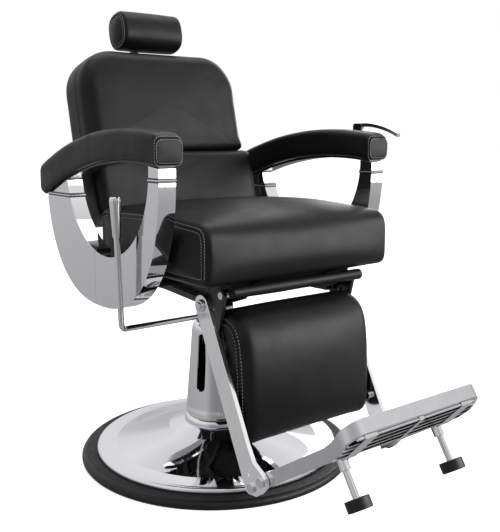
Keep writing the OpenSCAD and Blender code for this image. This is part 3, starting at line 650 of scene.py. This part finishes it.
def pad(name, node, loop, seam_t, front_t, radius, crown, cap, sides, hold):
    """A pad seen from the front: its outline stands at the seam, its sides run to the face,
    and the face's edge is rounded. radius gives that rounding at an (across, up) point, crown
    is how far the face's middle stands out, and sides is the number of rings along the sides."""
    sign = 1 if front_t > seam_t else -1
    deep = abs(front_t - seam_t)
    mid = sum(loop, Vector((0, 0))) / len(loop)
    shell = Shell()
    groove, lip = 0.0016, 0.0035
    sink = 0.01         # distance at which the outline is inset to find the inward direction

    def at(p, t):
        return CREASE + Vector((p.x, 0, 0)) + UP * p.y + REAR * t

    for f in (0.25, 0.6, 0.9):
        shell.ring([at(mid.lerp(p, f), seam_t) for p in loop])
    seam = shell.ring([at(p, seam_t + sign * 0.0004) for p in inset(loop, groove)])
    first = shell.ring([at(p, seam_t + sign * lip) for p in loop])
    reach = [radius(p) for p in loop]
    for k in range(1, sides + 1):
        shell.ring([at(p, seam_t + sign * (lip + (deep - r - lip) * k / sides))
                    for p, r in zip(loop, reach)])
    steps = 7
    for k in range(1, steps + 1):
        a = math.pi / 2 * k / steps
        moved = [p + (q - p) * (r * (1 - math.cos(a)) / sink) for p, q, r in
                 zip(loop, inset(loop, sink), reach)]
        shell.ring([at(p, seam_t + sign * (deep - r + r * math.sin(a)))
                    for p, r in zip(moved, reach)])
    face = 16
    for k in range(1, face):
        f = 1 - k / face
        shell.ring([at(mid.lerp(p, f), seam_t + sign * (deep + crown * (1 - f * f) ** 1.2))
                    for p in moved])
    faces = shell.faces()
    ob = piece(name, shell.verts, faces, VINYL, "backrest", [node])
    pinned = set(shell.rings[seam]) | {i for r in shell.rings[:seam] for i in r}
    pinned |= {v.index for v in ob.data.vertices if hold(v.co)}
    inflate(ob, pinned, cap)
    lines = ring_line(ob, shell.rings[first])
    finish_soft(ob)
    stitches(name + "Stitching", lines, "backrest")
    return ob


back_low, back_high = span("back_cushion", UP)
back_front, seam_t = span("back_cushion", REAR)
back_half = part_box("back_cushion")[1].x
lum_low, lum_high = span("lumbar_cushion", UP)
lum_front = span("lumbar_cushion", REAR)[0]
lum_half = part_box("lumbar_cushion")[1].x
rear_t = span("back_rear_pad", REAR)[1]

upper = upright_outline(back_half, back_low + 0.001, back_high, 0.1, 0.014)


def upper_round(p):
    """The face's rounding, which is tighter along the crease above the lumbar cushion."""
    f = min(1.0, max(0.0, (p.y - back_low) / 0.05))
    return 0.018 + 0.016 * f * f * (3 - 2 * f)


pad("BackCushion", "back_cushion", upper, seam_t, back_front, upper_round, 0.004, 0.007, 3,
    lambda p: (p - CREASE).dot(UP) < 0.004)
lumbar = upright_outline(lum_half - 0.002, lum_low + 0.001, lum_high, 0.02, 0.03)
pad("LumbarCushion", "lumbar_cushion", lumbar, seam_t, lum_front, lambda p: 0.026, 0.003,
    0.005, 5, lambda p: (p - CREASE).dot(UP) < lum_low + 0.02)
rear_low = span("back_rear_pad", UP)[0]
rear = upright_outline(back_half, rear_low, back_high, 0.1, 0.024)
pad("BackRearPad", "back_rear_pad", rear, seam_t + 0.0015, rear_t, lambda p: 0.034, 0.0, 0.003,
    4, lambda p: (p - CREASE).dot(REAR) > rear_t - 0.004)

# ---------------------------------------------------------------- armrests


def armrest(name, node, sign):
    """A curved sleeve with a stitched cap on its front end; sign is its side of the chair."""
    lo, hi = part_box(node)
    outline = side_outline_of_arm(node)
    centre = (lo.x + hi.x) / 2
    wide = (hi.x - lo.x) / 2 + 0.0025
    front, rear_end = lo.y - 0.002, hi.y
    around = 72
    shell = Shell()

    def reach(y):
        """The arm's lowest and highest point at y."""
        y = min(max(y, lo.y + 0.0005), hi.y - 0.0005)
        zs = []
        for a, b in zip(outline, outline[1:] + outline[:1]):
            if (a.x - y) * (b.x - y) <= 0 and abs(a.x - b.x) > 1e-9:
                zs.append(a.y + (b.y - a.y) * (y - a.x) / (b.x - a.x))
        return min(zs), max(zs)

    low_r, top_r = 0.009, 0.012

    def section(y, shrink, dip=0.0):
        """The rounded cross-section at y, as points of the chair."""
        z0, z1 = reach(y)
        w, h = wide * shrink, (z1 - z0) / 2 * shrink
        zc = (z0 + z1) / 2
        pts = []
        for cx, cz, r, start in ((1, -1, low_r, 270), (1, 1, top_r, 0), (-1, 1, top_r, 90),
                                 (-1, -1, low_r, 180)):
            r = min(r, w * 0.95, h * 0.95)
            pts += [Vector((cx * (w - r) + r * math.cos(math.radians(start + 10 * k)),
                            cz * (h - r) + r * math.sin(math.radians(start + 10 * k))))
                    for k in range(10)]
        pts = inset(resample_count(pts, around), dip)
        return [(centre + sign * p.x, y, zc + p.y) for p in pts]

    face = front + 0.001
    for f in (0.15, 0.35, 0.55, 0.75, 0.9):
        shell.ring([(x, y - 0.002 * (1 - f * f), z) for x, y, z in section(face, f)])
    cap_line = shell.ring(section(face - 0.0002, 0.965))
    seam = shell.ring(section(face + 0.0012, 0.985, 0.0004))
    sleeve = shell.ring(section(face + 0.0045, 1.0))
    ys, y = [], face + 0.0045
    end_r = 0.02
    while y < rear_end - end_r - 0.006:
        y += 0.0068
        ys.append(y)
    for y in ys:
        shell.ring(section(y, 1.0))
    for k in range(1, 7):
        a = math.pi / 2 * k / 6.4
        shell.ring(section(ys[-1] + (rear_end - ys[-1] - 0.0005) * math.sin(a),
                           1 - 0.75 * (1 - math.cos(a)) ** 1.3))
    faces = shell.faces()
    ob = piece(name, shell.verts, faces, VINYL, "seat", [node])
    pinned = set(shell.rings[seam])
    pinned |= {v.index for v in ob.data.vertices if v.co.z < reach(v.co.y)[0] + 0.002}
    inflate(ob, pinned, 0.003)
    lines = ring_line(ob, shell.rings[cap_line]) + ring_line(ob, shell.rings[sleeve])
    finish_soft(ob)
    stitches(name + "Stitching", lines, "seat", 0.0058)
    return ob


def resample_count(loop, count):
    """A closed loop as exactly count points."""
    total = sum((b - a).length for a, b in zip(loop, loop[1:] + loop[:1]))
    out = resample(loop, total / count)
    return (out + out[-1:] * count)[:count]


def side_outline_of_arm(node):
    """The armrest's curved outline in the YZ plane, ordered along its top and underside."""
    lo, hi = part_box(node)
    edge = hi.x if hi.x > 0 else lo.x
    bm = bmesh.new()
    bm.from_mesh(nodes[node].data)
    bmesh.ops.remove_doubles(bm, verts=bm.verts, dist=1e-5)
    ring = {}
    for e in bm.edges:
        a, b = e.verts
        flat = [abs(abs(f.normal.x) - 1) < 1e-3 for f in e.link_faces]
        if abs(a.co.x - edge) < 1e-4 and abs(b.co.x - edge) < 1e-4 and flat.count(True) == 1:
            ring.setdefault(a, []).append(b)
            ring.setdefault(b, []).append(a)
    start = next(iter(ring))
    loop, last, now = [], None, start
    while True:
        loop.append(Vector((now.co.y, now.co.z)))
        step = [v for v in ring[now] if v is not last]
        last, now = now, step[0]
        if now is start or len(loop) > len(ring):
            break
    bm.free()
    return loop


armrest("ArmrestLeft", "armrest_left", 1)
armrest("ArmrestRight", "armrest_right", -1)

# ---------------------------------------------------------------- chrome side panels


def clip(loop, inside, cut):
    """Part of a polygon on the inner side of a line; cut gives the crossing point."""
    out = []
    for a, b in zip(loop, loop[1:] + loop[:1]):
        if inside(a):
            out.append(a)
        if inside(a) != inside(b):
            out.append(cut(a, b))
    return out


def at_y(y):
    """Crossing point of an edge with the upright line at y, for clip."""
    return lambda a, b: a.lerp(b, (y - a.x) / (b.x - a.x))


PANEL_TOP = 0.75
SEAM_Y = 0.028
PANEL_Y, PANEL_HALF, PANEL_POWER = 0.01, 0.275, 2.4     # middle, half length, squareness
CUT_Y, CUT_HALF, CUT_DEEP = -0.03, 0.196, 0.203         # the hollow of the U
ARM_CREST_Y, ARM_CREST_Z, ARM_CURVE = -0.14, 0.7593, 0.53


def under_arm(y):
    """Height of the panel's top edge, just under the armrest's plate."""
    return ARM_CREST_Z - ARM_CURVE * (y - ARM_CREST_Y) ** 2


def panel_outline():
    """The U of the side panel in the YZ plane, counter-clockwise."""
    deep = PANEL_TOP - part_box("side_panel_left")[0].z
    above = PANEL_TOP + 0.04
    outer, cut = [], []
    for i in range(181):
        a = math.pi + math.pi * i / 180
        c, s = math.cos(a), math.sin(a)
        wide = math.copysign(abs(c) ** (2 / PANEL_POWER), c)
        outer.append(Vector((PANEL_Y + PANEL_HALF * wide,
                             PANEL_TOP - deep * abs(s) ** (2 / PANEL_POWER))))
        cut.append(Vector((CUT_Y + CUT_HALF * c, PANEL_TOP + CUT_DEEP * s)))
    loop = [Vector((PANEL_Y - PANEL_HALF, above))] + outer
    loop += [Vector((PANEL_Y + PANEL_HALF, above)), Vector((CUT_Y + CUT_HALF, above))]
    loop += cut[::-1] + [Vector((CUT_Y - CUT_HALF, above))]

    def below(p):
        return under_arm(p.x) - p.y

    def crossing(a, b):
        return a.lerp(b, below(a) / (below(a) - below(b)))

    return clip(loop, lambda p: below(p) > 0, crossing)


def extrude_x(name, loop, x0, x1, mat, body, replaced, width):
    """A plate from x0 to x1 with a (y, z) outline and edges rounded by width."""
    n = len(loop)
    verts = [(x, p.x, p.y) for x in (x0, x1) for p in loop]
    faces = [tuple(range(n - 1, -1, -1)), tuple(range(n, 2 * n))]
    faces += [(i, (i + 1) % n, n + (i + 1) % n, n + i) for i in range(n)]
    ob = piece(name, verts, faces, mat, body, replaced)
    round_edges(ob, width)
    return ob


def tidy_loop(loop):
    """The loop without points that nearly coincide."""
    out = []
    for p in loop:
        if not out or (p - out[-1]).length > 4e-4:
            out.append(p)
    return out


whole = tidy_loop(panel_outline())
gap = 0.0007
cover_in = min(v.co.x for v in nodes["panel_covers"].data.vertices if v.co.x > 0)
panel_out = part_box("side_panel_left")[1].x
for sign, side in ((1, "Left"), (-1, "Right")):
    node = "side_panel_" + side.lower()
    for part, keep, y in (("Front", lambda p: p.x < SEAM_Y - gap, SEAM_Y - gap),
                          ("Rear", lambda p: p.x > SEAM_Y + gap, SEAM_Y + gap)):
        loop = tidy_loop(clip(whole, keep, at_y(y)))
        extrude_x("SidePanel" + side + part, loop, sign * cover_in, sign * panel_out, CHROME,
                  "seat", [node, "panel_covers"], 0.0014)
    low = min(p.y for p in whole if abs(p.x - SEAM_Y) < 0.02)
    high = max(p.y for p in whole if abs(p.x - SEAM_Y) < 0.02)
    strip = [Vector((SEAM_Y + y, z)) for y, z in ((-0.01, low + 0.004), (0.01, low + 0.004),
                                                  (0.01, high - 0.004), (-0.01, high - 0.004))]
    extrude_x("PanelJoint" + side, strip, sign * (cover_in + 0.004),
              sign * (panel_out - 0.0016), PAINT, "seat", [], 0.0005)


def post_collar(name, sign, y0, y1, z, tall, proud, mat):
    """A band round a post from y0 to y1, standing proud of it on all sides."""
    x0, x1 = cover_in - proud, panel_out + proud
    y0, y1 = y0 - proud, y1 + proud
    verts = [(sign * x, y, z + dz) for dz in (0.0, tall)
             for x, y in ((x0, y0), (x1, y0), (x1, y1), (x0, y1))]
    faces = [(0, 1, 5, 4), (1, 2, 6, 5), (2, 3, 7, 6), (3, 0, 4, 7), (3, 2, 1, 0), (4, 5, 6, 7)]
    ob = piece(name, verts, faces, mat, "seat")
    round_edges(ob, min(0.0012, tall / 3))


def crossings(z):
    """Where the panel's outline passes the height z, from front to rear."""
    ys = []
    for a, b in zip(whole, whole[1:] + whole[:1]):
        if (a.y - z) * (b.y - z) < 0:
            ys.append(a.x + (b.x - a.x) * (z - a.y) / (b.y - a.y))
    return sorted(ys)


for sign, side in ((1, "Left"), (-1, "Right")):
    for part, z in (("Front", 0.722), ("Rear", 0.668)):
        ys = crossings(z)
        y0, y1 = (ys[0], ys[1]) if part == "Front" else (ys[-2], ys[-1])
        tag = side + part
        # Painted shade: the black band above and below the chrome ring stands for the shade in
        # the collar's hollow top and bottom, which are not modelled.
        post_collar("PostPaintedShade" + tag, sign, y0, y1, z, 0.0105, 0.0005, PAINT)
        post_collar("PostBand" + tag, sign, y0, y1, z + 0.0036, 0.0032, 0.0014, CHROME)

# ---------------------------------------------------------------- base, shroud and lever

ring_lo, ring_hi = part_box("base_rubber_ring")
disc_lo, disc_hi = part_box("base_disc")
plate_r, base_r = disc_hi.x, ring_hi.x


DISC_NECK_R = 0.084
DISC_EDGE_Z = 0.0325
DISC_CURVE = 1.6        # above 1 the disc is hollow, so it steepens towards the neck


def disc_height(r):
    """The disc's height at a radius, from its edge bead up to the neck."""
    rise = plate_r - 0.012
    f = max(0.0, (rise - r) / (rise - DISC_NECK_R))
    return DISC_EDGE_Z + (disc_hi.z - 0.018) * f ** DISC_CURVE


disc = [(plate_r, disc_lo.z), (plate_r, 0.024), (plate_r - 0.0006, 0.0275),
        (plate_r - 0.0022, 0.0305), (plate_r - 0.0048, 0.0322), (plate_r - 0.0078, 0.0326),
        (plate_r - 0.0095, 0.0318), (plate_r - 0.0105, 0.0316), (plate_r - 0.0122, 0.0326)]
disc += [(r, disc_height(r)) for r in [plate_r - 0.014 - (plate_r - 0.014 - 0.0855) * k / 46
                                       for k in range(47)]]
disc += [(0.083, disc[-1][1]), (0.083, disc[-1][1] - 0.004), (plate_r - 0.02, 0.028),
         (plate_r - 0.004, 0.022), (plate_r - 0.004, disc_lo.z)]
lathe("BaseDisc", disc, CHROME, "base", ["base_disc"], around=224)

tread = [(plate_r + 0.0003, ring_lo.z), (base_r - 0.003, ring_lo.z), (base_r - 0.0005, 0.003),
         (base_r, 0.008), (base_r - 0.0012, 0.0125), (base_r - 0.004, 0.0165),
         (base_r - 0.008, 0.0188)]
r = base_r - 0.0105
while r > plate_r + 0.006:
    tread += [(r, 0.0196), (r - 0.0022, 0.0196), (r - 0.0027, 0.0184), (r - 0.0034, 0.0184)]
    r -= 0.0040
tread += [(plate_r + 0.003, 0.0196), (plate_r + 0.0003, 0.0186)]
tread_ob = lathe("RubberRing", tread, RUBBER, "base", ["base_rubber_ring"], around=200)
round_edges(tread_ob, 0.00025, angle=40, segments=1)

collar_lo, collar_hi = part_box("neck_collar")
neck_r = collar_hi.x
collar = [(0.0625, collar_lo.z + 0.0005), (neck_r - 0.001, collar_lo.z + 0.0005)]
for k in range(13):
    a = math.radians(-60 + 135 * k / 12)
    collar.append((neck_r - 0.016 + 0.016 * math.cos(a),
                   (collar_lo.z + collar_hi.z) / 2 + 0.0165 * math.sin(a)))
collar += [(neck_r - 0.012, collar_hi.z), (0.0625, collar_hi.z)]
lathe("NeckCollar", collar, CHROME, "base", ["neck_collar"])

shroud_lo, shroud_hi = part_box("pump_shroud")
foot_r, top_z = shroud_hi.x, shroud_hi.z
outer = [(foot_r - 0.0015, shroud_lo.z - 0.0056), (foot_r, shroud_lo.z - 0.004),
         (foot_r, shroud_lo.z + 0.007), (foot_r - 0.0012, shroud_lo.z + 0.0095)]
neck_z = 0.318
for k in range(1, 25):
    f = k / 24
    outer.append((foot_r - 0.0012 - (foot_r - 0.0642) * f ** 0.96,
                  shroud_lo.z + 0.0095 + (neck_z - shroud_lo.z - 0.0095) * f))
crown = top_z - neck_z
for k in range(1, 10):
    a = math.radians(90 * k / 9)
    outer.append((0.052 + 0.011 * math.cos(a), neck_z + crown * math.sin(a)))
inner = [(p - 0.0035, z - (0.003 if z > neck_z else 0.0)) for p, z in outer[4:]][::-1]
inner[0] = (0.0485, top_z)
inner = inner + [(foot_r - 0.006, shroud_lo.z + 0.024), (0.0752, shroud_lo.z + 0.024),
                 (0.0752, shroud_lo.z - 0.0056)]
shroud = lathe("PumpShroud", outer + inner, CHROME, "shroud", ["pump_shroud"],
               around=128)
lever_pin = Vector(joints["hand_lever_pump"]["pos_m"])
lever_out = Vector((lever_pin.x, lever_pin.y, 0)).normalized()
lever_side = Vector((-lever_out.y, lever_out.x, 0))
SLOT_LOW, SLOT_HIGH, SLOT_HALF = 0.175, 0.323, 0.0125


def slot_cutter():
    """An upright bar with round ends that stands through the shroud's wall by the lever."""
    loop = []
    for cz, start in ((SLOT_HIGH - SLOT_HALF, 0), (SLOT_LOW + SLOT_HALF, 180)):
        loop += [(SLOT_HALF * math.cos(math.radians(start + 15 * k)),
                  cz + SLOT_HALF * math.sin(math.radians(start + 15 * k))) for k in range(13)]
    n = len(loop)
    verts = [lever_out * d + lever_side * s + Vector((0, 0, z)) for d in (0.03, 0.12)
             for s, z in loop]
    faces = [tuple(range(n - 1, -1, -1)), tuple(range(n, 2 * n))]
    faces += [(i, (i + 1) % n, n + (i + 1) % n, n + i) for i in range(n)]
    mesh = bpy.data.meshes.new("Cutter")
    mesh.from_pydata([tuple(v) for v in verts], [], faces)
    bm = bmesh.new()
    bm.from_mesh(mesh)
    bmesh.ops.recalc_face_normals(bm, faces=bm.faces)
    bm.to_mesh(mesh)
    bm.free()
    ob = bpy.data.objects.new("Cutter", mesh)
    scene.collection.objects.link(ob)
    return ob


def carve(ob, cutter):
    """Cuts the cutter out of a piece and removes it."""
    mod = ob.modifiers.new("Cut", "BOOLEAN")
    mod.operation = "DIFFERENCE"
    mod.solver = "EXACT"
    mod.object = cutter
    bpy.context.view_layer.update()
    done = ob.evaluated_get(bpy.context.evaluated_depsgraph_get())
    mesh = bpy.data.meshes.new_from_object(done)
    ob.modifiers.clear()
    ob.data = mesh
    bpy.data.objects.remove(cutter)
    select_only(ob)
    bpy.ops.object.shade_smooth_by_angle(angle=math.radians(35))


carve(shroud, slot_cutter())
nodes["pump_cylinder"].data.materials[0] = CHROME

# ---------------------------------------------------------------- rounded hard parts

for node, name, width, mat in (
        ("leg_bar_left", "LegBarLeft", 0.0012, BRUSHED),
        ("leg_bar_right", "LegBarRight", 0.0012, BRUSHED),
        ("footrest_frame", "FootrestFrame", 0.0014, SATIN),
        ("footplate", "Footplate", 0.0006, SATIN),
        ("legrest_bolts", "LegrestBolts", 0.001, ZINC),
        ("footrest_pivots", "FootrestPivots", 0.001, ZINC),
        ("legrest_brackets", "LegrestBrackets", 0.001, PAINT),
        ("push_rod_left", "PushRodLeft", 0.0008, PAINT),
        ("push_rod_right", "PushRodRight", 0.0008, PAINT),
        ("release_lever", "ReleaseLever", 0.0018, SATIN),
        ("release_bracket", "ReleaseBracket", 0.001, PAINT),
        ("headrest_post", "HeadrestPost", 0.0008, CHROME),
        ("headrest_bracket", "HeadrestBracket", 0.0008, CHROME),
        ("headrest_socket", "HeadrestSocket", 0.0016, PLASTIC),
        ("headrest_knob", "HeadrestKnob", 0.0016, PLASTIC),
        ("mounting_plate", "MountingPlate", 0.0015, PAINT),
        ("seat_frame", "SeatFrame", 0.0012, PAINT),
        ("frame_brackets", "FrameBrackets", 0.001, PAINT),
        ("back_cranks", "BackCranks", 0.001, PAINT),
        ("back_frame", "BackFrame", 0.0012, PAINT),
        ("lever_head", "LeverHead", 0.001, ZINC),
        ("lever_grip", "LeverGrip", 0.0007, CHROME),
        ("foot_legs", "FootLegs", 0.0008, CHROME),
        ("foot_rubbers", "FootRubbers", 0.0016, RUBBER),
        ("armrest_plates", "ArmrestPlates", 0.0006, PAINT)):
    rounded_copy(node, name, width, mat)

# ---------------------------------------------------------------- floor


def floor():
    """Pale floor: white to the camera, grey where it lights the object, and left out of
    glossy reflections, which show the room instead."""
    size = 30.0
    mesh = bpy.data.meshes.new("Floor")
    mesh.from_pydata([(-size, -size, 0), (size, -size, 0), (size, size, 0), (-size, size, 0)],
                     [], [(0, 1, 2, 3)])
    ob = bpy.data.objects.new("Floor", mesh)
    scene.collection.objects.link(ob)
    mat = bpy.data.materials.new("PaleFloor")
    mat.use_nodes = True
    n, link = mat.node_tree.nodes, mat.node_tree.links.new
    bsdf, out = n["Principled BSDF"], n["Material Output"]
    bsdf.inputs["Roughness"].default_value = 0.9
    bsdf.inputs["Specular IOR Level"].default_value = 0.0
    bsdf.inputs["Emission Color"].default_value = (1, 1, 1, 1)
    path = n.new("ShaderNodeLightPath")
    for socket, low_v, high_v in (("Base Color", 0.35, 0.85), ("Emission Strength", 0.0, 0.55)):
        level = n.new("ShaderNodeMapRange")
        level.inputs["To Min"].default_value = low_v
        level.inputs["To Max"].default_value = high_v
        link(path.outputs["Is Camera Ray"], level.inputs["Value"])
        link(level.outputs[0], bsdf.inputs[socket])
    clear = n.new("ShaderNodeBsdfTransparent")
    mix = n.new("ShaderNodeMixShader")
    link(path.outputs["Is Glossy Ray"], mix.inputs[0])
    link(bsdf.outputs[0], mix.inputs[1])
    link(clear.outputs[0], mix.inputs[2])
    link(mix.outputs[0], out.inputs["Surface"])
    mesh.materials.append(mat)
    ob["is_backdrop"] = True


floor()

# The large front light shows in vinyl, paint and panels; the other metal mirrors the room.
lit = bpy.data.collections.new("FrontLit")
for ob in scene.objects:
    if ob.type == "MESH" and ob.data.materials and (ob.name.startswith(("SidePanel", "Floor"))
            or ob.data.materials[0] in (VINYL, THREAD, PAINT, PLASTIC, RUBBER)):
        lit.objects.link(ob)
bpy.data.objects["FrontLight"].light_linking.receiver_collection = lit

low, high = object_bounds()
